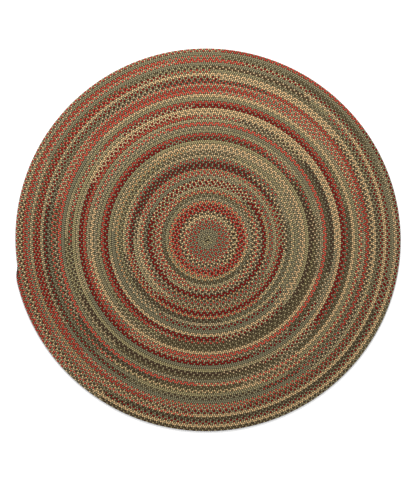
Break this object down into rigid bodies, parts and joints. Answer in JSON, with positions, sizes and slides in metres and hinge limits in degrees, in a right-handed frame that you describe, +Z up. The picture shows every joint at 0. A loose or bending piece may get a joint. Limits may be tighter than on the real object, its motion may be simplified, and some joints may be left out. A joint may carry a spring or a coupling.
{
  "type": "braided rug",
  "caption": "Round flat rug of one long three-strand wool braid, coiled and laced edge to edge, in mixed sage, olive, brown, tan, cream and red strands.",
  "frame": {"origin": "on the floor, under the middle of the rug's outline", "axes": "+Z up out of the rug; the braid's tapered tail is on the -X side, and the long way of the slightly oval outline lies near X"},
  "size_m": [1.678, 1.6684, 0.0095],
  "materials": {
    "braided_wool": "matte dyed wool yarn, braided"
  },
  "bodies": {
    "root": {"braided_rug": "braided_wool"}
  },
  "joints": []
}
